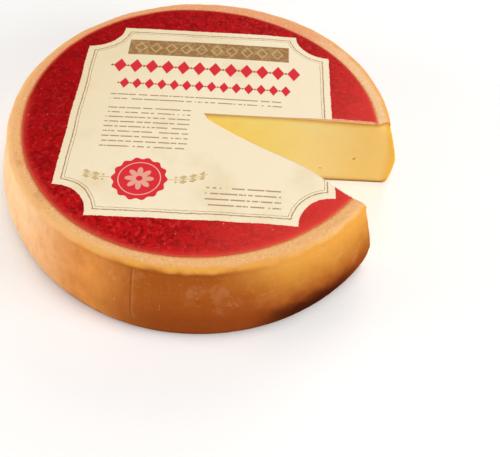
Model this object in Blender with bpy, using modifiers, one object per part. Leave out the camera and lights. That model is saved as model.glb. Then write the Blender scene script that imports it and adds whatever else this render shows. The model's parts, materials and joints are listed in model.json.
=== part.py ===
"""A wheel of raclette cheese with one wedge cut out of it, and the round paper label on its top.

Run it with: blender --background --python part.py

Metres, +Z up. The origin is on the wheel's own axis, in the plane that the wheel stands on. The front is towards
-Y, and the notch that the wedge left opens to the right of the front.
"""

import math

import bmesh
import bpy
from mathutils import Vector

# Driving sizes of the wheel
WHEEL_RADIUS = 0.1597
CENTRE_HEIGHT = 0.0692
TURN_STEPS = 108
MERGE_DISTANCE = 0.00001

# The label's disc, and the ring of bare rind around it that rises to a soft lip
LABEL_RADIUS = 0.1360
LABEL_THICKNESS = 0.0004
LABEL_GAP = 0.0003
LABEL_STATIONS = (0.0, 0.030, 0.060, 0.090, 0.115, LABEL_RADIUS)
DOME_DROP = 0.0022
DOME_POWER = 2.4
RING_STATIONS = (0.139, 0.142)
LIP_RADIUS = 0.1445
LIP_RISE = 0.0010

# The slumped side: steep at the shoulder, widest low down at the belly, rounded in to the foot
SHOULDER_RADIUS = 0.1489
SHOULDER_HEIGHT = 0.0636
SHOULDER_STEPS = 5
BELLY_HEIGHT = 0.027
SIDE_LEAN = 1.3
SIDE_STEPS = 7
FOOT_RADIUS = 0.1530
FOOT_ROUNDING = 2.4
FOOT_STEPS = 6
BASE_RING = 0.080

# The wheel has sunk a little on its front right, and is not perfectly round
SLUMP = 0.0010
SLUMP_TOWARDS = math.radians(-45)

# The two knife cuts, seen from above, and where they meet near the axis
BACK_CUT = math.radians(-4.6)
NEAR_CUT = math.radians(-39.1)
CUT_TIP = Vector((0.0005, 0.0006, 0.0))
KNIFE_REACH = 0.30
KNIFE_OVERRUN = 0.02

# Eyes in the cut faces: distance from the tip, height, and radius
BACK_EYES = ((0.1243, 0.0272, 0.0013), (0.0976, 0.0145, 0.0010))
NEAR_EYES = (
    (0.0520, 0.0170, 0.0021),
    (0.0390, 0.0440, 0.0011),
    (0.0860, 0.0390, 0.0023),
    (0.1010, 0.0545, 0.0012),
    (0.1180, 0.0330, 0.0014),
    (0.1215, 0.0360, 0.0011),
    (0.1330, 0.0210, 0.0012),
)
EYE_SINK = 0.25
EYE_TILT = 0.3
EYE_SEGMENTS = 10
EYE_RINGS = 7

# Creases sharper than this stay sharp in the shading
CREASE_ANGLE = math.radians(40)


def clear_scene():
    """Removes the start-up scene's objects."""
    for obj in list(bpy.data.objects):
        bpy.data.objects.remove(obj)


def make_collection(name, shown=True):
    """A collection in the scene. One that is not shown holds cutters."""
    collection = bpy.data.collections.new(name)
    bpy.context.scene.collection.children.link(collection)
    collection.hide_render = not shown
    return collection


def make_material(name, colour, roughness):
    """A Principled material with one colour."""
    material = bpy.data.materials.new(name)
    material.use_nodes = True
    shader = material.node_tree.nodes["Principled BSDF"]
    shader.inputs["Base Color"].default_value = (*colour, 1.0)
    shader.inputs["Roughness"].default_value = roughness
    shader.inputs["Metallic"].default_value = 0.0
    return material


def smoothstep(low, high, value):
    """0 below low, 1 above high, and an even S between them."""
    share = min(1.0, max(0.0, (value - low) / (high - low)))
    return share * share * (3 - 2 * share)


def top_height(radius):
    """Height of the wheel's top before it slumped: a low dome, then a dip and a lip at the ring of bare rind."""
    dome = CENTRE_HEIGHT - DOME_DROP * (radius / LABEL_RADIUS) ** DOME_POWER
    return dome + LIP_RISE * smoothstep(LABEL_RADIUS, LIP_RADIUS, radius)


def side_radius(height):
    """Radius of the side wall at a height, from the shoulder down to the foot."""
    if height >= BELLY_HEIGHT:
        share = (height - BELLY_HEIGHT) / (SHOULDER_HEIGHT - BELLY_HEIGHT)
        return WHEEL_RADIUS - (WHEEL_RADIUS - SHOULDER_RADIUS) * share**SIDE_LEAN
    drop = (BELLY_HEIGHT - height) / BELLY_HEIGHT
    bulge = (1 - drop**FOOT_ROUNDING) ** (1 / FOOT_ROUNDING)
    return FOOT_RADIUS + (WHEEL_RADIUS - FOOT_RADIUS) * bulge


def wheel_profile():
    """Outline of one half of the wheel, as (radius, height) from the top centre down the side to the base centre."""
    points = [(r, top_height(r)) for r in LABEL_STATIONS + RING_STATIONS + (LIP_RADIUS,)]
    crest = top_height(LIP_RADIUS)
    for step in range(1, SHOULDER_STEPS + 1):
        turn = math.pi / 2 * step / SHOULDER_STEPS
        radius = LIP_RADIUS + (SHOULDER_RADIUS - LIP_RADIUS) * math.sin(turn)
        height = crest - (crest - SHOULDER_HEIGHT) * (1 - math.cos(turn))
        points.append((radius, height))
    for step in range(1, SIDE_STEPS + 1):
        height = SHOULDER_HEIGHT - (SHOULDER_HEIGHT - BELLY_HEIGHT) * step / SIDE_STEPS
        points.append((side_radius(height), height))
    for step in range(1, FOOT_STEPS + 1):
        height = max(0.0, BELLY_HEIGHT * math.cos(math.pi / 2 * step / FOOT_STEPS))
        points.append((side_radius(height), height))
    points += [(BASE_RING, 0.0), (0.0, 0.0)]
    return points


def label_profile():
    """Outline of one half of the label: its printed face outwards, its edge, and its back to the centre again."""
    back = [(r, top_height(r) + LABEL_GAP) for r in LABEL_STATIONS]
    face = [(r, height + LABEL_THICKNESS) for r, height in back]
    return face + back[::-1]


def turned(name, profile, collection):
    """A solid of revolution about Z as a plain mesh object, from a profile at +X and a Screw modifier."""
    mesh = bpy.data.meshes.new(name + "_profile")
    line = bmesh.new()
    corners = [line.verts.new((radius, 0.0, height)) for radius, height in profile]
    for start, end in zip(corners, corners[1:]):
        line.edges.new((start, end))
    line.to_mesh(mesh)
    line.free()
    obj = bpy.data.objects.new(name, mesh)
    collection.objects.link(obj)
    screw = obj.modifiers.new("Turn", "SCREW")
    screw.axis = "Z"
    screw.angle = 2 * math.pi
    screw.steps = TURN_STEPS
    screw.render_steps = TURN_STEPS
    screw.use_merge_vertices = True
    screw.merge_threshold = MERGE_DISTANCE
    graph = bpy.context.evaluated_depsgraph_get()
    turned_mesh = bpy.data.meshes.new_from_object(obj.evaluated_get(graph))
    obj.modifiers.clear()
    obj.data = turned_mesh
    turned_mesh.name = name
    bpy.data.meshes.remove(mesh)
    return obj


def label_edge(angle):
    """How far the hand-laid label's edge stands outside its round, in metres."""
    off_centre = 0.0016 * math.cos(angle - math.radians(150))
    oval = 0.0013 * math.cos(2 * (angle - math.radians(-37)))
    corners = 0.0014 * math.cos(3 * (angle - math.radians(-6)))
    return off_centre + oval + corners


def set_label_outline(obj):
    """Draws the outer edge of the label in and out, and keeps it lying on the top."""
    for vertex in obj.data.vertices:
        radius = math.hypot(vertex.co.x, vertex.co.y)
        if radius < LABEL_RADIUS - MERGE_DISTANCE:
            continue
        above = vertex.co.z - top_height(radius)
        moved = radius + label_edge(math.atan2(vertex.co.y, vertex.co.x))
        vertex.co.x *= moved / radius
        vertex.co.y *= moved / radius
        vertex.co.z = top_height(moved) + above


def out_of_round(angle):
    """How far the wheel's side stands outside its round, in metres."""
    oval = 0.0004 * math.cos(2 * (angle - math.radians(78)))
    corners = 0.0003 * math.cos(3 * (angle - math.radians(30)))
    return oval + corners


def settle(obj):
    """Sinks the front right of a turned piece and takes it slightly out of round. The base stays flat."""
    for vertex in obj.data.vertices:
        radius = math.hypot(vertex.co.x, vertex.co.y)
        angle = math.atan2(vertex.co.y, vertex.co.x)
        outwards = radius / WHEEL_RADIUS
        share = min(1.0, vertex.co.z / CENTRE_HEIGHT)
        towards = 0.5 * (1 + math.cos(angle - SLUMP_TOWARDS))
        vertex.co.z -= SLUMP * towards * share * outwards**2
        swell = 1 + out_of_round(angle) * outwards**4 / WHEEL_RADIUS
        vertex.co.x *= swell
        vertex.co.y *= swell


def along_cut(angle, distance, height):
    """A point on a knife cut, at a distance from where the cuts meet."""
    return CUT_TIP + Vector((distance * math.cos(angle), distance * math.sin(angle), height))


def make_knife(collection):
    """The wedge of space that the two cuts take out, as a cutter that runs past the wheel all round."""
    block = bmesh.new()
    floor = -KNIFE_OVERRUN
    corners = (CUT_TIP, along_cut(NEAR_CUT, KNIFE_REACH, 0), along_cut(BACK_CUT, KNIFE_REACH, 0))
    outline = block.faces.new([block.verts.new((c.x, c.y, floor)) for c in corners])
    raised = bmesh.ops.extrude_face_region(block, geom=[outline])
    lifted = [item for item in raised["geom"] if isinstance(item, bmesh.types.BMVert)]
    bmesh.ops.translate(block, verts=lifted, vec=(0, 0, CENTRE_HEIGHT + 2 * KNIFE_OVERRUN))
    bmesh.ops.recalc_face_normals(block, faces=block.faces)
    mesh = bpy.data.meshes.new("wedge_space")
    block.to_mesh(mesh)
    block.free()
    knife = bpy.data.objects.new("wedge_space", mesh)
    collection.objects.link(knife)
    return knife


def make_eye(name, angle, distance, height, radius, collection):
    """A round eye in a cut face, as a ball to cut away. It sits a little behind the face."""
    ball = bmesh.new()
    bmesh.ops.create_uvsphere(ball, u_segments=EYE_SEGMENTS, v_segments=EYE_RINGS, radius=radius)
    mesh = bpy.data.meshes.new(name)
    ball.to_mesh(mesh)
    ball.free()
    eye = bpy.data.objects.new(name, mesh)
    into_paste = angle + (math.pi / 2 if angle == BACK_CUT else -math.pi / 2)
    sunk = EYE_SINK * radius
    eye.location = along_cut(angle, distance, height)
    eye.location += Vector((sunk * math.cos(into_paste), sunk * math.sin(into_paste), 0))
    eye.rotation_euler = (EYE_TILT, EYE_TILT, angle + EYE_TILT)
    collection.objects.link(eye)


def as_cutters(collection):
    """Marks every object of a collection as a cutter."""
    for obj in collection.objects:
        obj.hide_render = True
        obj.display_type = "WIRE"


def cut_by_object(obj, cutter):
    """Takes one cutter away from a piece."""
    cut = obj.modifiers.new("Wedge", "BOOLEAN")
    cut.operation = "DIFFERENCE"
    cut.solver = "EXACT"
    cut.object = cutter


def cut_by_collection(obj, collection):
    """Takes every cutter of a collection away from a piece."""
    cut = obj.modifiers.new("Eyes", "BOOLEAN")
    cut.operation = "DIFFERENCE"
    cut.solver = "EXACT"
    cut.operand_type = "COLLECTION"
    cut.collection = collection


def make_wheel(parts, knife, eyes):
    """The wheel of paste and rind in one piece, with the wedge and the eyes cut out."""
    wheel = turned("cheese_wheel", wheel_profile(), parts)
    settle(wheel)
    wheel.data.shade_smooth()
    wheel.data.set_sharp_from_angle(angle=CREASE_ANGLE)
    cut_by_object(wheel, knife)
    cut_by_collection(wheel, eyes)
    wheel.data.materials.append(make_material("Cheese rind", (0.60, 0.26, 0.07), 0.55))


def make_label(parts, knife):
    """The round paper label, cut through by the same two knife strokes."""
    label = turned("paper_label", label_profile(), parts)
    set_label_outline(label)
    settle(label)
    label.data.shade_smooth()
    label.data.set_sharp_from_angle(angle=CREASE_ANGLE)
    cut_by_object(label, knife)
    label.data.materials.append(make_material("Label paper", (0.72, 0.60, 0.42), 0.6))


def main():
    clear_scene()
    parts = make_collection("Raclette wheel")
    knives = make_collection("Wedge cutter", shown=False)
    eyes = make_collection("Eye cutters", shown=False)
    knife = make_knife(knives)
    for angle, places in ((BACK_CUT, BACK_EYES), (NEAR_CUT, NEAR_EYES)):
        side = "back" if angle == BACK_CUT else "near"
        for number, (distance, height, radius) in enumerate(places, start=1):
            make_eye(f"eye_{side}_{number}", angle, distance, height, radius, eyes)
    as_cutters(knives)
    as_cutters(eyes)
    make_wheel(parts, knife, eyes)
    make_label(parts, knife)


main()
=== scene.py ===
"""The looks of a wheel of raclette cheese with one wedge cut out, and of the paper label on its top.

Metres, +Z up, in the same frame as the solids: the wheel's axis is the Z axis, it stands on z = 0,
and the camera looks from -Y.
"""

import json
import math

import bmesh
import bpy
from bpy.props import FloatProperty, FloatVectorProperty, IntProperty, PointerProperty
from mathutils import Matrix, Vector, noise
from mathutils.bvhtree import BVHTree

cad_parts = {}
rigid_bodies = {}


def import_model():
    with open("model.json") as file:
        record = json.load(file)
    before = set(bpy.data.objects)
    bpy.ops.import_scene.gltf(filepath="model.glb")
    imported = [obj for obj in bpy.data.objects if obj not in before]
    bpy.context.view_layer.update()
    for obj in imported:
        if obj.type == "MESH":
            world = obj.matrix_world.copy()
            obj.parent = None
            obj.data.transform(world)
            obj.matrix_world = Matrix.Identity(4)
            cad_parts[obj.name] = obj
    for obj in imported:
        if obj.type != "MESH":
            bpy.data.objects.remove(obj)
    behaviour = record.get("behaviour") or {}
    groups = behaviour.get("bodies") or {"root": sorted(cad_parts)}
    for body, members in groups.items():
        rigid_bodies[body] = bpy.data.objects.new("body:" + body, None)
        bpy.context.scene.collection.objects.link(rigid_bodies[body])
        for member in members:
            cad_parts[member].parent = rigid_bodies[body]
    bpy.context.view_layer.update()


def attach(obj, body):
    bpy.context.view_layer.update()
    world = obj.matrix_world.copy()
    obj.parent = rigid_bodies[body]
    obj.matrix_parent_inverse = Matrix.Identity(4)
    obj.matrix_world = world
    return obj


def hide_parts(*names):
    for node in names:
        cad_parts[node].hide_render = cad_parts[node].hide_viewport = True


bl_info = {
    "name": "Raclette wheel",
    "version": (1, 0, 0),
    "blender": (4, 5, 0),
    "location": "3D View > Sidebar > Raclette wheel",
    "description": "Builds a cut wheel of raclette cheese with its paper label, on a pale floor",
    "category": "Object",
}

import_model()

WHEEL_NODE = "cheese_wheel"
LABEL_NODE = "paper_label"
BODY = "root"
MM = 0.001

# Where the mould's seam runs down the side, and how the columns of the mesh draw together around it
SEAM_ANGLE = math.radians(-108.95)
SEAM_REACH = math.radians(9)
SEAM_GATHER = 1.6
SEAM_TOP = 0.0650
SEAM_FOOT = 0.010

# Pale rubbed places on the side: direction in degrees, height, half width and half height
SMUDGES = (
    (-86.4, 0.0330, 0.0065, 0.0045),
    (-83.0, 0.0390, 0.0080, 0.0050),
    (-75.6, 0.0430, 0.0026, 0.0012),
    (-73.2, 0.0440, 0.0034, 0.0010),
    (-114.9, 0.0535, 0.0022, 0.0016),
    (-104.2, 0.0535, 0.0014, 0.0010),
    (-88.2, 0.0355, 0.0010, 0.0012),
)

# Eyes in the two cut faces: distance from the tip, height, and radius
BACK_EYES = ((0.1243, 0.0272, 0.0013), (0.0976, 0.0145, 0.0010))
NEAR_EYES = (
    (0.0520, 0.0170, 0.0021),
    (0.0390, 0.0440, 0.0011),
    (0.0860, 0.0390, 0.0023),
    (0.1010, 0.0545, 0.0012),
    (0.1180, 0.0330, 0.0014),
    (0.1215, 0.0360, 0.0011),
    (0.1330, 0.0210, 0.0012),
)

# Directions of the wheel's slump, of its long axis, and of one of its three soft corners
SLUMP_TOWARDS = math.radians(-45)
OVAL_TOWARDS = math.radians(78)
CORNERS_TOWARDS = math.radians(30)

# Dents of the rind, from broad to fine: height, and steps of the noise in a metre
DENTS = ((0.55 * MM, 34), (0.28 * MM, 95), (0.10 * MM, 330))

# The label's print, in millimetres from its middle, along and across the way that it was laid.
# Panel: half width, half height, and radius of its concave corners. Band: height up, half length, half width.
PANEL = (101.0, 105.0, 27.0)
BAND = (79.0, 67.5, 10.0)
# Rows of lozenges: height up, half length of the row, pitch, half width and half height of one
BAND_ROW = (79.0, 64.0, 12.8, 5.4, 7.0)
BAND_HOLLOWS = (79.0, 64.0, 12.8, 3.9, 5.0)
TITLE_ROWS = ((54.0, 78.0, 13.0, 5.4, 8.6), (32.0, 70.0, 10.0, 4.0, 6.4))
# Blocks of short dashes: left, right, top and bottom
DASH_BLOCKS = ((-74, 62, 20.2, 10.4), (-74, -9, 5.2, -41.6), (8, 62, -72.6, -93.6))
MEDALLION = (-40.0, -70.0)

# Area lights: name, place and width. They and the light above face one point, in the wheel's middle.
LIT_POINT = Vector((0, 0, 0.04))
OVERHEAD = (0.25, -0.25, 1.7)
AREA_LIGHTS = (
    ("left", (-1.25, -0.08, 0.30), 0.7),
    ("front", (0.25, -1.70, 0.75), 1.0),
    ("right", (1.15, -0.58, 0.57), 0.6),
    ("sheen", (0.55, 1.20, 0.95), 0.9),
)

CAMERA_PLACE = Vector((-0.0009, -0.4155, 0.4522))
CAMERA_TARGET = Vector((0.0342, -0.0844, 0.0316))


def srgb(code):
    """Linear colour of a hexadecimal sRGB code."""
    channels = [int(code[start : start + 2], 16) / 255 for start in (0, 2, 4)]
    return tuple(c / 12.92 if c <= 0.04045 else ((c + 0.055) / 1.055) ** 2.4 for c in channels)


def size_property(name, default, description):
    """A length that a user can change."""
    return FloatProperty(name=name, description=description, default=default, unit="LENGTH", precision=4)


def angle_property(name, degrees, description):
    """An angle that a user can change."""
    return FloatProperty(
        name=name, description=description, default=math.radians(degrees), subtype="ANGLE", unit="ROTATION"
    )


def colour_property(name, code, description):
    """A colour that a user can change."""
    return FloatVectorProperty(
        name=name, description=description, default=srgb(code), subtype="COLOR", size=3, min=0, max=1
    )


def power_property(name, default, description):
    """The power of a light, in watts, that a user can change."""
    return FloatProperty(name=name, description=description, default=default, unit="POWER")


def amount_property(name, default, description):
    """A number without a unit, never negative, that a user can change."""
    return FloatProperty(name=name, description=description, default=default, min=0)


class WheelSettings(bpy.types.PropertyGroup):
    """Sizes and colours of the cheese."""

    radius: size_property("Radius", 0.1597, "Widest radius, at the belly")
    centre_height: size_property("Height", 0.0692, "Height in the middle of the top")
    dome_drop: size_property("Dome", 0.0022, "How far the top falls from its middle to the ring")
    ring_radius: size_property("Ring radius", 0.1360, "Where the dip of bare rind round the label starts")
    lip_radius: size_property("Lip radius", 0.1445, "Radius of the soft lip round the top")
    lip_rise: size_property("Lip rise", 0.0010, "How far the lip stands over the dip inside it")
    shoulder_radius: size_property("Shoulder radius", 0.1489, "Radius where the side starts")
    shoulder_height: size_property("Shoulder height", 0.0636, "Height where the side starts")
    belly_height: size_property("Belly height", 0.027, "Height of the widest place of the side")
    foot_radius: size_property("Foot radius", 0.1530, "Radius of the flat base")
    slump: size_property("Slump", 0.0010, "How far the front right has sunk")
    steps: IntProperty(name="Steps", description="Columns round the wheel", default=540, min=60)
    back_cut: angle_property("Back cut", -4.6, "Direction of the cut that faces the front")
    near_cut: angle_property("Near cut", -39.1, "Direction of the cut that faces the back")
    tip: FloatVectorProperty(
        name="Tip", description="Where the two cuts meet", default=(0.0005, 0.0006, 0), subtype="XYZ"
    )
    side_colour: colour_property("Side", "e6964a", "Orange rind of the side")
    # The red-brown also paints shade on the front, besides the rind's own darker patches
    side_dark_and_shade: colour_property("Side, dark", "a25119", "Red-brown rind, and painted shade on the front")
    # The pale rind also gives the painted sheen on the left side, and painted highlights on the lip and on
    # the seam's ridge
    pale_rind_and_sheen: colour_property("Side, pale", "f4ca9c", "Pale rind, and painted sheen on the left side")
    side_gold: colour_property("Side, golden", "c28133", "Golden rind of the right side")
    # Painted shade: red-brown on the lower side, above the darker painted shadow at the foot
    shade_brown: colour_property("Rust", "96451a", "Painted shade, rust-coloured, above the dark foot")
    # Dark rind for the seam's line and the cut's base line, and painted shade and shadow at the foot
    dark_rind_and_shade: colour_property("Foot", "36110a", "Dark rind, and painted shade close to the base")
    # The lip's colour also paints light onto the upper side at the right
    lip_and_upper_light: colour_property("Lip", "e8a64c", "Golden lip round the top, and painted light on the upper side")
    ring_colour: colour_property("Ring", "ecb276", "Pale rind round the label")
    ring_dark: colour_property("Ring, dark", "cf8450", "Dark grains of the ring")
    ring_pink: colour_property("Ring, pink", "e89c74", "Pinkish rind of the far ring")
    dye_colour: colour_property("Dye", "cc5f38", "Rind that the label's ink has stained")
    # The bloom's colour also paints a sheen on the far right of the ring
    bloom_and_sheen: colour_property("Bloom", "fad9a8", "Pale bloom and grains, and painted sheen on the far ring")
    under_colour: colour_property("Underside", "d8a277", "Pinkish rind of the flat underside")
    paste_colour: colour_property("Paste", "f4dd98", "Cut cheese")
    # Painted light: a brighter paste for the cheese close to the tip
    paste_tip_light: colour_property("Paste, deep", "ffe892", "Painted light on the cut cheese close to the tip")
    paste_rim: colour_property("Paste, rim", "e4ae35", "Deeper yellow of the cut cheese close to the rind")
    # The brown rind line also paints shade along the top of the cut, under the label
    rind_line_and_shade: colour_property("Rind line", "b8702f", "Thin brown line of rind in the cut, and painted shade under the label")


class LabelSettings(bpy.types.PropertyGroup):
    """Sizes and colours of the paper label."""

    radius: size_property("Radius", 0.1368, "Radius of the label")
    thickness: size_property("Thickness", 0.0003, "Thickness of the paper")
    lift: size_property("Lift", 0.0004, "Height of the printed face over the cheese")
    drawn_back: size_property("Drawn back", 0.0020, "How far the paper has drawn back from the back cut")
    turn: angle_property("Turn", -5.0, "How far the label was laid out of square")
    red: colour_property("Red", "b60e12", "Printed ground")
    # The dark red also paints shade on the label's left and back
    red_dark_and_shade: colour_property("Red, dark", "80060a", "Pattern of the printed ground, and painted shade at its left")
    # The light red also paints a sheen on the label's right
    red_pale_and_sheen: colour_property("Red, light", "dc4038", "Faded parts of the printed ground, and painted sheen at its right")
    cream: colour_property("Cream", "f2e2c2", "Panel in the middle")
    # The stain colour also paints shade on the panel's left and back
    stain_and_shade: colour_property("Stain", "dcc493", "Aged patches of the panel, and painted shade at its left")
    brown: colour_property("Brown", "9a7145", "Band, border and small rules")
    tan: colour_property("Tan", "cdb07c", "Light ornament")
    accent: colour_property("Accent red", "d8303a", "Lozenges and medallion")
    edge: colour_property("Edge", "d4603c", "Stained outer edge")
    paper: colour_property("Paper", "f3ece0", "Unprinted edge of the paper")


class StageSettings(bpy.types.PropertyGroup):
    """Floor, light and camera."""

    floor_colour: colour_property("Floor", "fbfaf8", "Plain pale floor")
    top_strength: amount_property("Top", 1.40, "Strength of the soft light above")
    top_spread: angle_property("Top spread", 45.0, "How wide the light above is")
    left_power: power_property("Left", 10.4, "Power of the low left light")
    right_power: power_property("Right", 9.8, "Power of the right light")
    front_power: power_property("Front", 4.0, "Power of the front light")
    sheen_power: power_property("Sheen", 6.0, "Power of the light behind")
    sky: amount_property("Sky", 0.16, "Strength of the even light")
    backdrop: amount_property("Backdrop", 0.45, "Brightness that the backdrop adds")
    lens: amount_property("Lens", 51.55, "Focal length in millimetres")
    roll: angle_property("Roll", 3.808, "Roll of the camera")


def smoothstep(low, high, value):
    """0 below low, 1 above high, and an even S between them."""
    share = min(1.0, max(0.0, (value - low) / (high - low)))
    return share * share * (3 - 2 * share)


def bump_at(value, centre, width):
    """A bell of height 1 at a centre."""
    return math.exp(-(((value - centre) / width) ** 2))


def top_height(wheel, radius):
    """Height of the wheel's top before it slumped."""
    dome = wheel.centre_height - wheel.dome_drop * (radius / wheel.ring_radius) ** 2.4
    return dome + wheel.lip_rise * smoothstep(wheel.ring_radius, wheel.lip_radius, radius)


def side_radius(wheel, height):
    """Radius of the side wall at a height, from the shoulder down to the foot."""
    if height >= wheel.belly_height:
        share = (height - wheel.belly_height) / (wheel.shoulder_height - wheel.belly_height)
        return wheel.radius - (wheel.radius - wheel.shoulder_radius) * share**1.3
    drop = (wheel.belly_height - height) / wheel.belly_height
    bulge = (1 - drop**2.4) ** (1 / 2.4)
    return wheel.foot_radius + (wheel.radius - wheel.foot_radius) * bulge


def spread(start, end, count):
    """Even steps from start to end, without the start."""
    return [start + (end - start) * step / count for step in range(1, count + 1)]


def wheel_profile(wheel):
    """Outline of one half of the wheel, from the top centre down the side to the base centre."""
    hidden = wheel.ring_radius - 4 * MM
    radii = [0.0] + spread(0.0, hidden, 7) + spread(hidden, wheel.lip_radius, 14)
    points = [(r, top_height(wheel, r)) for r in radii]
    crest = points[-1][1]
    for turn in spread(0, math.pi / 2, 12):
        radius = wheel.lip_radius + (wheel.shoulder_radius - wheel.lip_radius) * math.sin(turn)
        points.append((radius, crest - (crest - wheel.shoulder_height) * (1 - math.cos(turn))))
    for height in spread(wheel.shoulder_height, wheel.belly_height, 34):
        points.append((side_radius(wheel, height), height))
    for turn in spread(0, math.pi / 2, 24):
        height = max(0.0, wheel.belly_height * math.cos(turn))
        points.append((side_radius(wheel, height), height))
    points += [(r, 0.0) for r in spread(wheel.foot_radius, 0.0, 9)]
    return points


def settled(wheel, point):
    """A point of the true round wheel, moved to where it is on the slumped one. The base stays flat."""
    radius = math.hypot(point.x, point.y)
    angle = math.atan2(point.y, point.x)
    outwards = radius / wheel.radius
    share = min(1.0, point.z / wheel.centre_height)
    towards = 0.5 * (1 + math.cos(angle - SLUMP_TOWARDS))
    oval = 0.4 * MM * math.cos(2 * (angle - OVAL_TOWARDS))
    corners = 0.3 * MM * math.cos(3 * (angle - CORNERS_TOWARDS))
    swell = 1 + (oval + corners) * outwards**4 / wheel.radius
    return Vector((point.x * swell, point.y * swell, point.z - wheel.slump * towards * share * outwards**2))


def gathered(angle):
    """Draws the columns of the mesh together around the seam."""
    away = math.remainder(angle - SEAM_ANGLE, 2 * math.pi)
    if abs(away) >= SEAM_REACH:
        return angle
    share = abs(away) / SEAM_REACH
    return SEAM_ANGLE + math.copysign(SEAM_REACH * share**SEAM_GATHER, away)


def seam_relief(point, arc):
    """The mould's seam: a groove, and a thin ridge to its right, that fade out above the foot."""
    fade = smoothstep(SEAM_FOOT, SEAM_FOOT + 20 * MM, point.z)
    fade *= smoothstep(SEAM_TOP, SEAM_TOP - 3 * MM, point.z)
    arc += 0.35 * MM * noise.noise(Vector((0, 0, point.z / (6 * MM))))
    worn = 0.75 + 0.6 * noise.noise(Vector((4, 0, point.z / (9 * MM))))
    groove = 0.34 * MM * worn * bump_at(arc, 0, 0.65 * MM)
    return fade * (0.22 * MM * bump_at(arc, 1.5 * MM, 0.9 * MM) - groove)


def rind_relief(wheel, label, point):
    """How far the rind stands out of the smooth shape: dents, dimples, grain, crease and seam."""
    radius = math.hypot(point.x, point.y)
    angle = math.atan2(point.y, point.x)
    bare = smoothstep(-0.5 * MM, 3.5 * MM, outside_label(label, point))
    on_side = smoothstep(wheel.shoulder_height + 2 * MM, wheel.shoulder_height - 4 * MM, point.z)
    relief = sum(height * noise.noise(point * steps) for height, steps in DENTS)
    dimple = max(0.0, noise.noise(point * 150 + Vector((3, 1, 7))) - 0.42)
    relief -= 2.2 * MM * dimple * on_side
    grain = noise.noise(point * 560) + 0.6 * noise.noise(point * 900)
    relief += 0.14 * MM * grain * (1 - on_side)
    lip_edge = wheel.shoulder_height + 0.6 * MM + 0.7 * MM * noise.noise(Vector((6 * angle, 0, 3)))
    crease = 0.35 * MM * (1 - 0.9 * max(0.0, math.cos(angle - math.radians(-42))) ** 4)
    relief += crease * bump_at(point.z, lip_edge + 2.0 * MM, 1.5 * MM) * bare
    relief -= crease * bump_at(point.z, lip_edge - 1.2 * MM, 1.4 * MM)
    away = math.remainder(angle - SEAM_ANGLE, 2 * math.pi)
    if abs(away) < SEAM_REACH:
        relief += seam_relief(point, away * radius)
    drawn_in = 0.5 * MM * on_side
    return (relief - drawn_in) * bare * smoothstep(0.2 * MM, 4 * MM, point.z)


def object_from(name, mesh_maker, collection=None):
    """An object at the origin with the mesh of a bmesh, which is freed."""
    mesh = bpy.data.meshes.new(name)
    mesh_maker.to_mesh(mesh)
    mesh_maker.free()
    obj = bpy.data.objects.new(name, mesh)
    (collection or bpy.context.scene.collection).objects.link(obj)
    return obj


def spin_line(shape, line, turn, steps, closed):
    """Joins points to a line and spins it round the Z axis."""
    edges = [shape.edges.new(pair) for pair in zip(line, line[1:])]
    bmesh.ops.spin(
        shape,
        geom=line + edges,
        cent=(0, 0, 0),
        axis=(0, 0, 1),
        dvec=(0, 0, 0),
        angle=turn,
        steps=steps,
        use_merge=closed,
        use_normal_flip=False,
        use_duplicate=False,
    )


def whole_wheel(wheel, label):
    """The wheel before it was cut, with its rind's relief, as a closed bmesh."""
    body = bmesh.new()
    line = [body.verts.new((radius, 0, height)) for radius, height in wheel_profile(wheel)]
    spin_line(body, line, 2 * math.pi, wheel.steps, closed=True)
    bmesh.ops.remove_doubles(body, verts=body.verts, dist=0.001 * MM)
    bmesh.ops.recalc_face_normals(body, faces=body.faces)
    for vert in body.verts:
        radius = math.hypot(vert.co.x, vert.co.y)
        angle = gathered(math.atan2(vert.co.y, vert.co.x))
        vert.co = Vector((radius * math.cos(angle), radius * math.sin(angle), vert.co.z))
    body.normal_update()
    relief = [rind_relief(wheel, label, vert.co) for vert in body.verts]
    moved = [vert.co + vert.normal * height for vert, height in zip(body.verts, relief)]
    for vert, place in zip(body.verts, moved):
        vert.co = settled(wheel, Vector((place.x, place.y, max(0.0, place.z))))
    return body


def near_bow(distance):
    """How far the near cut strays towards the notch, because the knife wandered."""
    hollow = smoothstep(0, 10 * MM, distance) * smoothstep(90 * MM, 28 * MM, distance)
    return 2.2 * MM * bump_at(distance, 96 * MM, 22 * MM) - 3.6 * MM * hollow


def back_lean(distance, height):
    """How far the back cut leans away from the notch at the lip, where the rind crumbled off the knife."""
    at_lip = smoothstep(137 * MM, 148 * MM, distance)
    return 3.2 * MM * at_lip * smoothstep(57 * MM, 66 * MM, height)


def along_cut(wheel, angle, distance, height):
    """A point on a knife cut, at a distance from where the cuts meet."""
    if angle == wheel.near_cut and distance > 0:
        angle += near_bow(distance) / distance
    return Vector(wheel.tip) + Vector((distance * math.cos(angle), distance * math.sin(angle), height))


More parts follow.
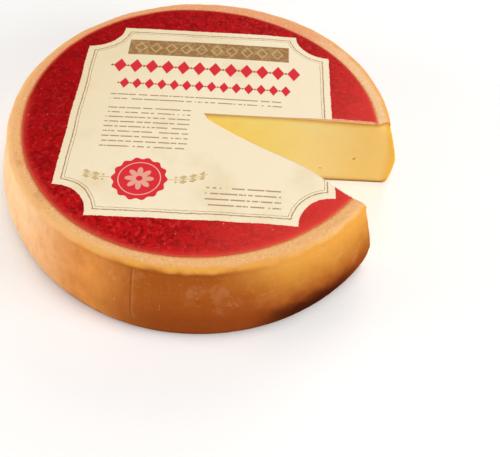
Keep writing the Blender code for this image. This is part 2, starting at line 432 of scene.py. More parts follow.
def make_knife(wheel, collection):
    """The wedge of space that the two cuts take out. Its two long faces carry the knife's drag."""
    reach, below, above = 0.19, -0.012, 0.088
    tip = Vector(wheel.tip).to_2d()
    block = bmesh.new()
    ends = ((0, 0), (wheel.near_cut, reach), (wheel.back_cut, reach))
    corners = [along_cut(wheel, angle, out, below) for angle, out in ends]
    outline = block.faces.new([block.verts.new(corner) for corner in corners])
    raised = bmesh.ops.extrude_face_region(block, geom=[outline])
    lifted = [item for item in raised["geom"] if isinstance(item, bmesh.types.BMVert)]
    bmesh.ops.translate(block, verts=lifted, vec=(0, 0, above - below))
    bmesh.ops.recalc_face_normals(block, faces=block.faces)
    bmesh.ops.subdivide_edges(block, edges=block.edges, cuts=72, use_grid_fill=True)
    block.normal_update()
    for vert in block.verts:
        out = vert.co.xy - tip
        distance = out.length
        if distance < 0.01 * MM:
            continue
        angle = math.atan2(out.y, out.x)
        across = (wheel.back_cut - angle) / (wheel.back_cut - wheel.near_cut)
        drag = noise.noise(Vector((distance * 55, vert.co.z * 160, 9 * across)))
        drag += 0.5 * noise.noise(Vector((distance * 210, vert.co.z * 520, 5)))
        stray = across * near_bow(distance) + (1 - across) * back_lean(distance, vert.co.z)
        stray += 0.13 * MM * drag * smoothstep(MM, 6 * MM, distance)
        angle += stray / distance
        vert.co.xy = tip + distance * Vector((math.cos(angle), math.sin(angle)))
    object_from("wedge_space", block, collection)


def make_eye(wheel, name, angle, distance, height, radius, collection):
    """An eye in a cut face: an uneven ball that sits a little behind the face."""
    ball = bmesh.new()
    bmesh.ops.create_icosphere(ball, subdivisions=3, radius=radius)
    seed = Vector((distance * 900, height * 700, 0))
    for vert in ball.verts:
        vert.co *= 1 + 0.28 * noise.noise(vert.co / radius * 0.9 + seed)
    into_paste = angle + (math.pi / 2 if angle == wheel.back_cut else -math.pi / 2)
    place = along_cut(wheel, angle, distance, height)
    place += 0.2 * radius * Vector((math.cos(into_paste), math.sin(into_paste), 0))
    bmesh.ops.translate(ball, verts=ball.verts, vec=place)
    object_from(name, ball, collection)


def cut_by(obj, collection):
    """Takes a collection of cutters away from an object, and leaves it a plain mesh."""
    cut = obj.modifiers.new("Cut", "BOOLEAN")
    cut.operation = "DIFFERENCE"
    cut.solver = "MANIFOLD"
    cut.operand_type = "COLLECTION"
    cut.collection = collection
    graph = bpy.context.evaluated_depsgraph_get()
    result = bpy.data.meshes.new_from_object(obj.evaluated_get(graph))
    obj.modifiers.clear()
    whole = obj.data
    obj.data = result
    result.name = obj.name
    bpy.data.meshes.remove(whole)
    for cutter in list(collection.objects):
        bpy.data.objects.remove(cutter)
    bpy.data.collections.remove(collection)


def store(obj, name, values):
    """Keeps one number for each point of a mesh, for its material to read."""
    layer = obj.data.attributes.new(name, "FLOAT", "POINT")
    layer.data.foreach_set("value", values)


def outside_label(label, place):
    """How far a place on the top lies outside the label's edge."""
    return place.xy.length - label.radius - label_edge(math.atan2(place.y, place.x))


def mark_depth(obj, rind, label):
    """Stores each point's depth under the rind and distance from the label, and finds the cut faces."""
    depths = [rind.find_nearest(vertex.co)[3] for vertex in obj.data.vertices]
    store(obj, "rind_depth", depths)
    store(obj, "from_label", [outside_label(label, vertex.co) for vertex in obj.data.vertices])
    for face in obj.data.polygons:
        inside = max(depths[index] for index in face.vertices) > 0.01 * MM
        face.material_index = 1 if inside else 0


class Field:
    """A number that changes over a surface. Python's operators on it add Math nodes to its node tree."""

    def __init__(self, tree, socket):
        self.tree = tree
        self.socket = socket

    def math(self, operation, other=None, clamp=False):
        """A Math node on this number and, for most operations, another."""
        node = self.tree.nodes.new("ShaderNodeMath")
        node.operation = operation
        node.use_clamp = clamp
        for place, value in enumerate((self, other)):
            if isinstance(value, Field):
                self.tree.links.new(value.socket, node.inputs[place])
            elif value is not None:
                node.inputs[place].default_value = value
        return Field(self.tree, node.outputs["Value"])

    def __add__(self, other):
        return self.math("ADD", other)

    def __sub__(self, other):
        return self.math("SUBTRACT", other)

    def __mul__(self, other):
        return self.math("MULTIPLY", other)

    def __truediv__(self, other):
        return self.math("DIVIDE", other)

    def __abs__(self):
        return self.math("ABSOLUTE")

    def most(self, other):
        """The larger of this number and another."""
        return self.math("MAXIMUM", other)

    def wrapped(self, length):
        """This number modulo a length, always positive."""
        return self.math("FLOORED_MODULO", length)

    def step(self, low, high):
        """An even S from 0 at low to 1 at high. Low may be the larger."""
        node = self.tree.nodes.new("ShaderNodeMapRange")
        node.interpolation_type = "SMOOTHSTEP"
        rising = high > low
        node.inputs["From Min"].default_value = low if rising else high
        node.inputs["From Max"].default_value = high if rising else low
        node.inputs["To Min"].default_value = 0.0 if rising else 1.0
        node.inputs["To Max"].default_value = 1.0 if rising else 0.0
        self.tree.links.new(self.socket, node.inputs["Value"])
        return Field(self.tree, node.outputs["Result"])

    def near(self, centre, width, soft):
        """1 within a half width of a centre, with soft edges."""
        return abs(self - centre).step(width + soft, width - soft)


def length_of(first, second):
    """Distance of two numbers from 0, as the sides of a right angle."""
    return (first * first + second * second).math("SQRT")


class Paint:
    """The node tree of one material, with its coordinates and the few kinds of node that the finishes use."""

    def __init__(self, name, roughness):
        self.material = bpy.data.materials.new(name)
        self.material.use_nodes = True
        self.tree = self.material.node_tree
        self.shader = self.tree.nodes["Principled BSDF"]
        self.shader.inputs["Roughness"].default_value = roughness
        self.place = self.tree.nodes.new("ShaderNodeTexCoord").outputs["Object"]
        split = self.tree.nodes.new("ShaderNodeSeparateXYZ")
        self.tree.links.new(self.place, split.inputs[0])
        self.x, self.y, self.z = (Field(self.tree, socket) for socket in split.outputs)

    def mixed(self, first, second, factor):
        """A colour between two, by a mask."""
        node = self.tree.nodes.new("ShaderNodeMix")
        node.data_type = "RGBA"
        node.clamp_factor = True
        self.tree.links.new(factor.socket, node.inputs["Factor"])
        for socket, colour in zip((node.inputs[6], node.inputs[7]), (first, second)):
            if isinstance(colour, bpy.types.NodeSocket):
                self.tree.links.new(colour, socket)
            else:
                socket.default_value = (*colour, 1.0)
        return node.outputs[2]

    def layered(self, base, *layers):
        """A colour with others laid over it in turn. Each layer is a colour and its mask."""
        for colour, mask in layers:
            base = self.mixed(base, colour, mask)
        return base

    def grouped(self, group, vector=None, **values):
        """One of the shared effects, with this material's own values."""
        node = self.tree.nodes.new("ShaderNodeGroup")
        node.node_tree = group
        self.tree.links.new(vector or self.place, node.inputs["Vector"])
        for name, value in values.items():
            node.inputs[name].default_value = value
        return Field(self.tree, node.outputs["Mask"])

    def stretched(self, x, y, z):
        """The coordinates, stretched along each axis."""
        node = self.tree.nodes.new("ShaderNodeMapping")
        node.inputs["Scale"].default_value = (x, y, z)
        self.tree.links.new(self.place, node.inputs["Vector"])
        return node.outputs["Vector"]

    def joined(self, x, y, z):
        """A vector of three numbers."""
        node = self.tree.nodes.new("ShaderNodeCombineXYZ")
        for place, value in enumerate((x, y, z)):
            if isinstance(value, Field):
                self.tree.links.new(value.socket, node.inputs[place])
            else:
                node.inputs[place].default_value = value
        return node.outputs["Vector"]

    def stored(self, name):
        """A number that is kept on the points of the mesh."""
        node = self.tree.nodes.new("ShaderNodeAttribute")
        node.attribute_name = name
        return Field(self.tree, node.outputs["Fac"])

    def see_into(self, weight, radius, scale):
        """Lets light sink into the material."""
        for name, value in (("Weight", weight), ("Radius", radius), ("Scale", scale)):
            self.shader.inputs["Subsurface " + name].default_value = value

    def finish(self, colour, roughness, height, depth):
        """Links the colour, the roughness and the relief to the shader."""
        bump = self.tree.nodes.new("ShaderNodeBump")
        bump.inputs["Strength"].default_value = 1.0
        bump.inputs["Distance"].default_value = depth
        self.tree.links.new(height.socket, bump.inputs["Height"])
        self.tree.links.new(bump.outputs["Normal"], self.shader.inputs["Normal"])
        self.tree.links.new(colour, self.shader.inputs["Base Color"])
        self.tree.links.new(roughness.socket, self.shader.inputs["Roughness"])
        return self.material


def new_group(name, numbers):
    """An empty shader node group with a Vector input, named numbers, and one output named Mask."""
    group = bpy.data.node_groups.new(name, "ShaderNodeTree")
    group.interface.new_socket("Vector", in_out="INPUT", socket_type="NodeSocketVector")
    for number, default in numbers.items():
        socket = group.interface.new_socket(number, in_out="INPUT", socket_type="NodeSocketFloat")
        socket.default_value = default
    group.interface.new_socket("Mask", in_out="OUTPUT", socket_type="NodeSocketFloat")
    entry = group.nodes.new("NodeGroupInput")
    leave = group.nodes.new("NodeGroupOutput")
    return group, entry, leave


def noise_node(group, entry, detail, roughness):
    """A Noise texture inside a group, driven by its Vector and Scale."""
    texture = group.nodes.new("ShaderNodeTexNoise")
    texture.inputs["Detail"].default_value = detail
    texture.inputs["Roughness"].default_value = roughness
    group.links.new(entry.outputs["Vector"], texture.inputs["Vector"])
    group.links.new(entry.outputs["Scale"], texture.inputs["Scale"])
    return Field(group, texture.outputs[0])


def make_mottle():
    """Soft uneven patches: 0.5 on average, pushed apart by Contrast and curled by Curl."""
    group, entry, leave = new_group("Mottle", {"Scale": 100.0, "Contrast": 2.0, "Curl": 0.0})
    value = noise_node(group, entry, 4.0, 0.55)
    group.links.new(entry.outputs["Curl"], value.socket.node.inputs["Distortion"])
    contrast = Field(group, entry.outputs["Contrast"])
    spread_out = ((value - 0.5) * contrast).math("ADD", 0.5, clamp=True)
    group.links.new(spread_out.socket, leave.inputs["Mask"])
    return group


def make_speckle():
    """Scattered small grains, where a fine noise is above a Threshold. Softness is their edge's width."""
    group, entry, leave = new_group("Speckle", {"Scale": 800.0, "Threshold": 0.6, "Softness": 0.06})
    value = noise_node(group, entry, 2.0, 0.5)
    threshold = Field(group, entry.outputs["Threshold"])
    softness = Field(group, entry.outputs["Softness"])
    share = ((value - threshold) / softness).math("ADD", 0.0, clamp=True)
    group.links.new(share.socket, leave.inputs["Mask"])
    return group


def facing(angle, direction, soft, full):
    """1 within an angle of a direction round the wheel, and 0 beyond a wider one. All are in degrees."""
    across = (angle - math.radians(direction)).math("COSINE")
    return across.step(math.cos(math.radians(soft)), math.cos(math.radians(full)))


def rubbed_places(wheel, angle, height):
    """The pale rubbed places on the side, as one mask."""
    rubbed = None
    for direction, up, wide, tall in SMUDGES:
        across = (angle - math.radians(direction)) * (wheel.radius / wide)
        spot = length_of(across, (height - up) / tall).step(1.25, 0.25)
        rubbed = spot if rubbed is None else rubbed.most(spot)
    return rubbed


def rind_material(wheel, mottle, speckle):
    """Washed rind: orange-brown side with painted shade towards its foot and painted sheen on its left,
    golden lip, pale grainy ring and ribbed underside.
    """
    paint = Paint("Washed rind", 0.5)
    angle = paint.y.math("ARCTAN2", paint.x)
    height = paint.z
    radius = length_of(paint.x, paint.y)
    patches = paint.grouped(mottle, Scale=26.0, Contrast=2.4)
    clouds = paint.grouped(mottle, Scale=75.0, Contrast=2.4)
    grain = paint.grouped(mottle, Scale=420.0, Contrast=2.0)
    streaks = paint.grouped(mottle, Scale=160.0, Contrast=2.4, vector=paint.stretched(1, 1, 0.25))
    grains = paint.grouped(speckle, Scale=560.0, Threshold=0.54, Softness=0.08)
    specks = paint.grouped(speckle, Scale=300.0, Threshold=0.74, Softness=0.03)
    pits = paint.grouped(speckle, Scale=480.0, Threshold=0.68, Softness=0.05)

    # Darker front: partly the rind's own red-brown, partly painted shade between the left and right lights
    front = facing(angle, -94, 29, 2) + (streaks - 0.5) * 0.10
    # Painted light: the upper part of the side at the right front, brightened towards the lip's colour
    golden = height.step(0.044, 0.064) * facing(angle, -48, 42, 12)
    rubbed = rubbed_places(wheel, angle, height)
    seam_arc = (angle - SEAM_ANGLE) * wheel.radius
    seam_fade = height.step(SEAM_FOOT, SEAM_FOOT + 0.016) * height.step(SEAM_TOP, SEAM_TOP - 0.003)
    seam_line = seam_arc.near(-0.0001, 0.0003, 0.0006) * seam_fade
    # Painted shade: the side darkens towards the base, all round and most at the front right
    shade_height = height + (clouds - 0.5) * 0.006
    low_shade = facing(angle, -62, 62, 10) * 0.85 + 0.10
    # Painted shadow: a dark foot at the front right
    painted_shadow = facing(angle, -60, 21, 2) * 0.86 + 0.06
    side = paint.layered(
        wheel.side_colour,
        (wheel.side_dark_and_shade, patches.step(0.35, 1.0) * 0.40),
        # Pale left side: partly pale rind, partly a painted sheen where light grazes the side
        (wheel.pale_rind_and_sheen, facing(angle, -171, 50, 8) * (clouds * 0.25 + 0.75)),
        (wheel.side_gold, facing(angle, -52, 46, 12) * 0.95),
        # Partly the front's own red-brown rind, partly painted shade
        (wheel.side_dark_and_shade, front.math("ADD", 0.0, clamp=True) * 0.95),
        (wheel.side_dark_and_shade, streaks.step(0.45, 1.0) * 0.12),
        (wheel.pale_rind_and_sheen, clouds.step(0.6, 1.0) * 0.08),
        (wheel.bloom_and_sheen, grain.step(0.62, 1.0) * 0.07),
        (wheel.bloom_and_sheen, specks * 0.25),
        (wheel.side_dark_and_shade, pits * 0.30),
        # Painted light on the upper side at the right front
        (wheel.lip_and_upper_light, golden * 0.60),
        (wheel.bloom_and_sheen, rubbed * grain.step(0.15, 0.85) * (streaks * 0.18 + 0.04)),
        (wheel.dark_rind_and_shade, seam_line * (clouds * 0.50 + 0.12)),
        # Painted highlight on the seam's thin ridge
        (wheel.pale_rind_and_sheen, seam_arc.near(0.0015, 0.0003, 0.0005) * seam_fade * 0.12),
        # Painted shade on the lower side
        (wheel.shade_brown, shade_height.step(0.052, 0.022) * low_shade),
        # Painted shadow at the front right, close to the base
        (wheel.dark_rind_and_shade, shade_height.step(0.036, 0.014) * painted_shadow),
        # Painted shade all round, close to the base
        (wheel.dark_rind_and_shade, height.step(0.0075, 0.0015) * 0.45),
    )
    lip = paint.layered(
        wheel.lip_and_upper_light,
        # Painted highlight: a pale line along the lip on the left
        (wheel.pale_rind_and_sheen, facing(angle, -168, 62, 10) * 0.55),
        (wheel.ring_colour, facing(angle, 75, 100, 40) * 0.7),
        (wheel.bloom_and_sheen, facing(angle, -42, 34, 6) * 0.42),
        (wheel.ring_dark, clouds.step(0.5, 1.0) * 0.20),
    )
    ring = paint.layered(
        wheel.ring_colour,
        (wheel.ring_pink, facing(angle, 90, 105, 30) * 0.9),
        (wheel.ring_dark, grain.step(0.45, 0.95) * 0.36),
        # Grains, and a painted sheen on the ring at the far right
        (wheel.bloom_and_sheen, grains * 0.30 + facing(angle, 10, 42, 10) * 0.45),
        (wheel.ring_dark, facing(angle, -155, 16, 4) * clouds.step(0.35, 0.8) * 0.55),
    )
    ribs = (paint.x * 0.3 + paint.y).wrapped(0.0021).near(0.00105, 0.0004, 0.0004)
    under = paint.mixed(wheel.under_colour, wheel.side_dark_and_shade, ribs * 0.25 + clouds.step(0.5, 1.0) * 0.2)

    lip_edge = height + (clouds - 0.5) * 0.0014
    high_up = height.step(0.050, 0.055)
    on_ring = (radius + (clouds - 0.5) * 0.003).step(0.1462, 0.1425) * high_up
    beside = paint.stored("from_label") + (grain - 0.5) * 0.0016
    on_base = height.step(0.0016, 0.0004)
    rind = paint.layered(
        side,
        (lip, lip_edge.step(0.0645, 0.0674)),
        (ring, on_ring),
        (wheel.dye_colour, beside.step(0.0024, -0.0002) * high_up * 0.75),
        (wheel.ring_colour, beside.step(-0.0008, -0.0030) * high_up * 0.85),
        (under, on_base),
    )

    relief = grain * 0.55 + grains * on_ring * 0.65 + clouds * 0.3 - pits * 0.8 - ribs * on_base * 1.6
    rough = grain * 0.14 + 0.46 + on_ring * 0.14
    paint.shader.inputs["Specular IOR Level"].default_value = 0.0
    paint.see_into(0.08, (1.0, 0.5, 0.2), 0.003)
    return paint.finish(rind, rough, relief, 0.22 * MM)


def paste_material(wheel, mottle, speckle):
    """Cut cheese: creamy yellow, deeper towards the rind, with a thin brown line where the rind was cut,
    painted shade along the top under the label, and painted light close to the tip.
    """
    paint = Paint("Cheese paste", 0.42)
    depth = paint.stored("rind_depth")
    clouds = paint.grouped(mottle, Scale=45.0, Contrast=1.8)
    curd = paint.grouped(mottle, Scale=260.0, Contrast=1.6)
    drag = paint.grouped(mottle, Scale=110.0, Contrast=1.6, vector=paint.stretched(0.25, 0.25, 2.0))
    pits = paint.grouped(speckle, Scale=520.0, Threshold=0.70, Softness=0.04)
    radius = length_of(paint.x, paint.y)

    outwards = radius.step(0.050, 0.150)
    uneven = depth + (clouds - 0.5) * 0.0015
    # Band along the rind in the cut: the brown rind line, and at the top painted shade under the label's edge
    line = (depth + (curd - 0.5) * 0.0006).step(0.0034, 0.0002)
    high_or_low = abs(paint.z - 0.034).step(0.026, 0.0325)
    paste = paint.layered(
        wheel.paste_colour,
        # Painted light: brighter paste close to the tip, in the notch
        (wheel.paste_tip_light, radius.step(0.100, 0.040)),
        (wheel.paste_rim, radius.step(0.080, 0.140) * 0.58),
        (wheel.paste_rim, radius.step(0.147, 0.157) * 0.75),
        (wheel.paste_rim, uneven.step(0.0060, 0.0008) * (outwards * 0.45 + 0.45)),
        (wheel.paste_rim, clouds.step(0.5, 1.0) * 0.10),
        (wheel.bloom_and_sheen, curd.step(0.5, 1.0) * 0.10),
        (wheel.rind_line_and_shade, pits * 0.08),
        # Brown rind line at the top and the base of the cut; at the top it is also painted shade under the
        # label
        (wheel.rind_line_and_shade, line * high_or_low * (outwards * 0.45 + 0.40)),
        (wheel.dark_rind_and_shade, line * paint.z.step(0.0035, 0.0005) * outwards * 0.60),
    )

    paint.shader.inputs["Specular IOR Level"].default_value = 0.3
    paint.see_into(0.5, (1.0, 0.75, 0.30), 0.012)
    rough = curd * 0.10 + 0.38
    relief = curd * 0.4 + drag * 0.6 - pits
    return paint.finish(paste, rough, relief, 0.14 * MM)


def panel_edge(u, v, half_width, half_height, bite):
    """Signed distance from the edge of a panel with concave corners. It is negative inside."""
    across = abs(u) - half_width
    along = abs(v) - half_height
    return across.most(along).most(length_of(across, along) * -1 + bite)


def chain(u, v, up, reach, pitch, width, height):
    """A row of lozenges along u, as a mask."""
    along = (u + 500 * pitch).wrapped(pitch) - pitch / 2
    lozenge = abs(along) / width + abs(v - up) / height
    return lozenge.step(1.06, 0.94) * abs(u).step(reach + 0.2, reach - 0.2)


def rules(paint, u, v, left, right, top, bottom):
    """Rows of short dashes that fill a block of the panel, as a mask."""
    pitch = 5.2
    row = (v + 400 * pitch).wrapped(pitch)
    number = (v / pitch).math("FLOOR")
    texture = paint.tree.nodes.new("ShaderNodeTexNoise")
    texture.inputs["Scale"].default_value = 1.0
    texture.inputs["Detail"].default_value = 1.0
    paint.tree.links.new(paint.joined(u * 0.33, number * 7.3, 0.0), texture.inputs["Vector"])
    dashes = Field(paint.tree, texture.outputs[0]).step(0.40, 0.43)
    inside = u.near((left + right) / 2, (right - left) / 2, 0.2)
    inside *= v.near((top + bottom) / 2, (top - bottom) / 2, 0.1)
    return row.near(pitch / 2, 0.62, 0.2) * dashes * inside


def medallion(label, u, v):
    """The layers of a plain scalloped medallion with a ring and an eight-petalled flower."""
    across = u - MEDALLION[0]
    along = v - MEDALLION[1]
    away = length_of(across, along)
    turn = along.math("ARCTAN2", across)
    scallop = (turn * 14).math("COSINE") * 0.9 + 19.5
    petals = abs((turn * 4).math("COSINE")) * 5.5 + 5.0
    return (
        (label.accent, (away - scallop).step(0.25, -0.25)),
        (label.cream, away.near(15.2, 0.35, 0.2) * 0.6),
        (label.cream, (away - petals).step(0.3, -0.3) * 0.45),
        (label.accent, away.step(2.6, 2.2)),
    )


def sprig(u, v, side):
    """A curved spray of leaves to one side of the medallion, as a mask."""
    out = (u - MEDALLION[0]) * side
    rise = v - MEDALLION[1] - (out - 24) * (out - 24) * 0.012
    stem = rise.near(0, 0.35, 0.2) * out.near(35, 14, 0.3)
    along = (out + 70).wrapped(7.0) - 3.5
    leaf = abs(along) / 3.2 + abs(abs(rise) - 2.2) / 1.9
    return stem.most(leaf.step(1.1, 0.9) * out.near(36, 10.5, 0.2))


def label_material(label, mottle, speckle):
    """Printed paper: a red patterned ground, a cream panel, a brown band and plain ornaments."""
    paint = Paint("Printed label", 0.45)
    cosine, sine = math.cos(label.turn) / MM, math.sin(label.turn) / MM
    u = paint.x * cosine + paint.y * sine
    v = paint.y * cosine - paint.x * sine
    flat = paint.stretched(1, 1, 0)
    blots = paint.grouped(mottle, Scale=120.0, Contrast=4.5, Curl=1.6, vector=flat)
    strokes = paint.grouped(mottle, Scale=300.0, Contrast=3.5, Curl=0.8, vector=flat)
    broad = paint.grouped(mottle, Scale=24.0, Contrast=1.8)
    fine = paint.grouped(mottle, Scale=520.0, Contrast=1.8)
    flecks = paint.grouped(speckle, Scale=260.0, Threshold=0.75, Softness=0.03)

    # Painted light across the label: darker towards the left and back, paler towards the right where a sheen
    # falls
    across = paint.x * 0.85 - paint.y * 0.5 + (broad - 0.5) * 0.03
    from_edge = paint.stored("from_edge")
    faded = (from_edge + (broad - 0.5) * 0.004).step(0.0062, 0.0) * paint.y.step(0.045, -0.010)
    ground = paint.layered(
        label.red,
        (label.red_dark_and_shade, blots.step(0.30, 0.95) * 0.72),
        (label.red_pale_and_sheen, strokes.step(0.55, 1.0) * 0.36),
        # Painted shade at the left and back
        (label.red_dark_and_shade, across.step(0.01, -0.15) * 0.50),
        # Painted sheen at the right
        (label.red_pale_and_sheen, across.step(0.02, 0.13) * 0.70),
        (label.cream, flecks * 0.30),
        (label.red_pale_and_sheen, faded * 0.55),
    )
    cream = paint.layered(
        label.cream,
        (label.stain_and_shade, broad.step(0.45, 1.0) * 0.50 + fine.step(0.6, 1.0) * 0.12),
        # Painted shade on the panel at the left and back
        (label.stain_and_shade, across.step(0.0, -0.15) * 0.45),
    )
    brown = paint.mixed(label.brown, label.tan, blots.step(0.2, 0.9) * 0.35)

    edge = panel_edge(u, v, *PANEL) + (fine - 0.5) * 0.8 + (broad - 0.5) * 1.6
    border = (edge + 5.5).near(0, 0.45, 0.2).most((edge + 7.6).near(0, 0.2, 0.15))
    band_up, band_length, band_width = BAND
    band = u.near(0, band_length, 0.3) * v.near(band_up, band_width, 0.3)
    rims = chain(u, v, *BAND_ROW) - chain(u, v, *BAND_HOLLOWS)
    colour = paint.layered(
        ground,
        (cream, edge.step(0.25, -0.25)),
        (label.brown, border * 0.85),
        (brown, band),
        (label.tan, rims * 0.75),
    )
    for up, reach, pitch, width, tall in TITLE_ROWS:
        bead = 0.12 * pitch
        colour = paint.layered(
            colour,
            (label.accent, chain(u, v, up, reach, pitch, width, tall)),
            (label.brown, chain(u + pitch / 2, v, up, reach, pitch, bead, bead)),
        )
    for block in DASH_BLOCKS:
        colour = paint.mixed(colour, label.brown, rules(paint, u, v, *block) * 0.80)

    leaves = sprig(u, v, 1).most(sprig(u, v, -1) * u.step(-82, -80))
    frayed = paint.stored("from_cut") + (fine - 0.5) * 0.0012 + (broad - 0.5) * 0.0010
    worn = (from_edge + (fine - 0.5) * 0.0008).step(0.0020, 0.0)
    colour = paint.layered(
        colour,
        (label.tan, leaves),
        *medallion(label, u, v),
        (label.paper, frayed.step(0.0009, 0.0002) * 0.50),
        (label.edge, worn * 0.7),
    )

    relief = fine * 0.6 + blots * 0.25
    rough = fine * 0.10 + 0.48
    paint.shader.inputs["Specular IOR Level"].default_value = 0.03
    return paint.finish(colour, rough, relief, 0.05 * MM)


def paper_edge_material(label, mottle):
    """Unprinted paper, seen where the sheet is cut and on its back."""
    paint = Paint("Paper edge", 0.7)
    fibres = paint.grouped(mottle, Scale=900.0, Contrast=2.0)
    colour = paint.mixed(label.paper, label.stain_and_shade, fibres * 0.5)
    return paint.finish(colour, fibres * 0.1 + 0.62, fibres, 0.05 * MM)


def floor_material(stage, mottle):
    """Plain pale floor with the faintest unevenness."""
    paint = Paint("Pale floor", 0.6)
    haze = paint.grouped(mottle, Scale=2.0, Contrast=1.0)
    darker = [0.97 * channel for channel in stage.floor_colour]
    colour = paint.mixed(stage.floor_colour, darker, haze)
    return paint.finish(colour, haze * 0.05 + 0.6, haze, 0.01 * MM)


def shared_group(name, maker):
    """A shared effect by name, made the first time that it is asked for."""
    return bpy.data.node_groups.get(name) or maker()


def label_edge(angle):
    """How far the hand-laid label's edge stands outside its round."""
    off_centre = 1.6 * MM * math.cos(angle - math.radians(150))
    oval = 1.3 * MM * math.cos(2 * (angle - math.radians(-37)))
    corners = 1.4 * MM * math.cos(3 * (angle - math.radians(-6)))
    return off_centre + oval + corners


def label_reach(wheel, label, angle):
    """Distance from the tip to the label's slightly frayed edge, in a direction."""
    towards = Vector((math.cos(angle), math.sin(angle), 0))
    frayed = 0.35 * MM * noise.noise(towards * 9) + 0.15 * MM * noise.noise(towards * 60)
    return label.radius + label_edge(angle) + frayed - Vector(wheel.tip).dot(towards)


def paper_lift(place, to_edge):
    """How far the paper stands off the cheese: faint cockles all over, and lifted places along the edge."""
    cockles = 0.16 * MM * max(0.0, noise.noise(place * 42) + 0.15)
    cockles += 0.05 * MM * abs(noise.noise(place * 120))
    loose = max(0.0, noise.noise(place * 22 + Vector((5, 2, 0))) - 0.05)
    return cockles + 0.9 * MM * loose * smoothstep(6 * MM, 0.0, to_edge)


def label_point(wheel, label, share, out):
    """A place on the label, by its shares of the sweep from cut to cut and of the way out."""
    sweep = 2 * math.pi - (wheel.back_cut - wheel.near_cut)
    reach = label_reach(wheel, label, wheel.back_cut + share * sweep)
    distance = out * reach
    angle = wheel.back_cut + share * sweep
    if distance > 0:
        drawn_back = label.drawn_back * smoothstep(35 * MM, 125 * MM, distance) / distance
        angle += (1 - share) * drawn_back + share * near_bow(distance) / distance
    flat = Vector(wheel.tip) + distance * Vector((math.cos(angle), math.sin(angle), 0))
    flat.z = top_height(wheel, flat.xy.length)
    place = settled(wheel, flat)
    place.z += label.lift + paper_lift(Vector((flat.x, flat.y, 0)), (1 - out) * reach)
    from_cut = min(share, 1 - share) * sweep * distance
    return place, from_cut, (1 - out) * reach


def make_label_mesh(wheel, label):
    """The printed face of the label as one open sheet, spun round the tip from the one cut to the other."""
    rings, columns = 68, 360
    sweep = 2 * math.pi - (wheel.back_cut - wheel.near_cut)
    middle = wheel.back_cut + sweep / 2
    sheet = bmesh.new()
    line = [sheet.verts.new((ring / rings, 0, 0)) for ring in range(rings + 1)]
    bmesh.ops.rotate(sheet, verts=line, cent=(0, 0, 0), matrix=Matrix.Rotation(wheel.back_cut, 3, "Z"))
    spin_line(sheet, line, sweep, columns, closed=False)
    bmesh.ops.remove_doubles(sheet, verts=sheet.verts, dist=0.0001)
    to_cut = sheet.verts.layers.float.new("from_cut")
    to_edge = sheet.verts.layers.float.new("from_edge")
    for vert in sheet.verts:
        turn = math.remainder(math.atan2(vert.co.y, vert.co.x) - middle, 2 * math.pi)
        share = min(1.0, max(0.0, 0.5 + turn / sweep))
        vert.co, vert[to_cut], vert[to_edge] = label_point(wheel, label, share, vert.co.xy.length)
    bmesh.ops.recalc_face_normals(sheet, faces=sheet.faces)
    if sum(face.normal.z for face in sheet.faces) < 0:
        bmesh.ops.reverse_faces(sheet, faces=sheet.faces)
    return sheet


class RACLETTE_OT_cheese(bpy.types.Operator):
    """Build the cut wheel of cheese with its rind, cut faces and eyes"""

    bl_idname = "raclette.cheese"
    bl_label = "Cheese"

    def execute(self, context):
        wheel = context.scene.raclette_wheel
        label = context.scene.raclette_label
        body = whole_wheel(wheel, label)
        rind = BVHTree.FromBMesh(body)
        cheese = object_from("cut_cheese", body)
        cutters = bpy.data.collections.new("Cutters")
        context.scene.collection.children.link(cutters)
        make_knife(wheel, cutters)
        for angle, eyes in ((wheel.back_cut, BACK_EYES), (wheel.near_cut, NEAR_EYES)):
            for distance, height, radius in eyes:
                name = f"eye_{round(distance / MM)}_{round(height / MM)}"
                make_eye(wheel, name, angle, distance, height, radius, cutters)
        cut_by(cheese, cutters)
        mottle = shared_group("Mottle", make_mottle)
        speckle = shared_group("Speckle", make_speckle)
        cheese.data.materials.clear()
        cheese.data.materials.append(rind_material(wheel, mottle, speckle))
        cheese.data.materials.append(paste_material(wheel, mottle, speckle))
        mark_depth(cheese, rind, label)
        cheese.data.shade_smooth()
        cheese.data.set_sharp_from_angle(angle=math.radians(38))
        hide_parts(WHEEL_NODE)
        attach(cheese, BODY)
        return {"FINISHED"}


class RACLETTE_OT_label(bpy.types.Operator):
    """Build the printed paper label on the wheel's top"""

    bl_idname = "raclette.label"
    bl_label = "Label"

    def execute(self, context):
        wheel = context.scene.raclette_wheel
        label = context.scene.raclette_label
        sheet = object_from("printed_label", make_label_mesh(wheel, label))
        solid = sheet.modifiers.new("Paper", "SOLIDIFY")
        solid.thickness = label.thickness
        solid.offset = -1
        solid.material_offset = 1
        mottle = shared_group("Mottle", make_mottle)
        speckle = shared_group("Speckle", make_speckle)
        sheet.data.materials.append(label_material(label, mottle, speckle))
        sheet.data.materials.append(paper_edge_material(label, mottle))
        sheet.data.shade_smooth()
        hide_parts(LABEL_NODE)
        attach(sheet, BODY)
        return {"FINISHED"}


def add_light(name, kind, energy, place):
    """A light that faces the middle of the wheel."""
    lamp = bpy.data.lights.new(name, kind)
    lamp.energy = energy
    obj = bpy.data.objects.new(name, lamp)
    obj.location = place
    obj.rotation_euler = (LIT_POINT - Vector(place)).to_track_quat("-Z", "Y").to_euler()
    bpy.context.scene.collection.objects.link(obj)
    return lamp


def make_sky(stage):
    """Even white light from all round, with a brighter backdrop behind the floor."""
    sky = bpy.data.worlds.new("Studio")
    sky.use_nodes = True
    tree = sky.node_tree
    background = tree.nodes["Background"]
    background.inputs["Color"].default_value = (1, 1, 1, 1)
    seen = Field(tree, tree.nodes.new("ShaderNodeLightPath").outputs["Is Camera Ray"])
    strength = seen * stage.backdrop + stage.sky
    tree.links.new(strength.socket, background.inputs["Strength"])
    return sky


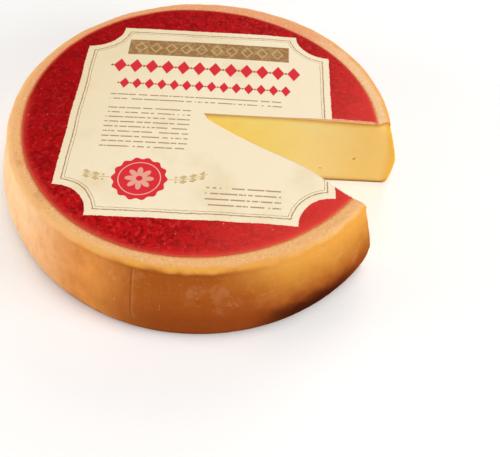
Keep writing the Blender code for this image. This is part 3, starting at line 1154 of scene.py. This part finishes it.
def add_camera(stage):
    """The camera at the photograph's viewing angle: from the front and above, with a slight roll."""
    lens = bpy.data.cameras.new("Camera")
    lens.lens = stage.lens
    lens.sensor_fit = "HORIZONTAL"
    lens.sensor_width = 36.0
    camera = bpy.data.objects.new("Camera", lens)
    level = (CAMERA_TARGET - CAMERA_PLACE).to_track_quat("-Z", "Y").to_matrix()
    rolled = level @ Matrix.Rotation(stage.roll, 3, "Z")
    camera.matrix_world = Matrix.Translation(CAMERA_PLACE) @ rolled.to_4x4()
    bpy.context.scene.collection.objects.link(camera)
    bpy.context.scene.camera = camera


class RACLETTE_OT_stage(bpy.types.Operator):
    """Add the pale floor, the soft lights and the camera"""

    bl_idname = "raclette.stage"
    bl_label = "Stage"

    def execute(self, context):
        stage = context.scene.raclette_stage
        ground = bmesh.new()
        bmesh.ops.create_grid(ground, x_segments=2, y_segments=2, size=6.0)
        floor = object_from("floor", ground)
        floor.data.materials.append(floor_material(stage, shared_group("Mottle", make_mottle)))
        overhead = add_light("top_light", "SUN", stage.top_strength, OVERHEAD)
        overhead.angle = stage.top_spread
        for name, place, width in AREA_LIGHTS:
            add_light(f"{name}_light", "AREA", getattr(stage, f"{name}_power"), place).size = width
        context.scene.world = make_sky(stage)
        context.scene.view_settings.view_transform = "Standard"
        add_camera(stage)
        return {"FINISHED"}


class RACLETTE_PT_panel(bpy.types.Panel):
    """Sizes, colours and the steps that build the wheel"""

    bl_label = "Raclette wheel"
    bl_idname = "RACLETTE_PT_panel"
    bl_space_type = "VIEW_3D"
    bl_region_type = "UI"
    bl_category = "Raclette wheel"

    def draw(self, context):
        layout = self.layout
        for operator in OPERATORS:
            layout.operator(operator.bl_idname)
        for group, settings in SETTINGS.items():
            column = layout.box().column()
            for name in settings.__annotations__:
                column.prop(getattr(context.scene, group), name)


SETTINGS = {
    "raclette_wheel": WheelSettings,
    "raclette_label": LabelSettings,
    "raclette_stage": StageSettings,
}
OPERATORS = (RACLETTE_OT_stage, RACLETTE_OT_cheese, RACLETTE_OT_label)


def register():
    for name, settings in SETTINGS.items():
        bpy.utils.register_class(settings)
        setattr(bpy.types.Scene, name, PointerProperty(type=settings))
    for operator in OPERATORS:
        bpy.utils.register_class(operator)
    bpy.utils.register_class(RACLETTE_PT_panel)


def unregister():
    bpy.utils.unregister_class(RACLETTE_PT_panel)
    for operator in OPERATORS:
        bpy.utils.unregister_class(operator)
    for name, settings in SETTINGS.items():
        delattr(bpy.types.Scene, name)
        bpy.utils.unregister_class(settings)


def main():
    register()
    bpy.ops.raclette.stage()
    bpy.ops.raclette.cheese()
    bpy.ops.raclette.label()


if __name__ == "__main__":
    main()
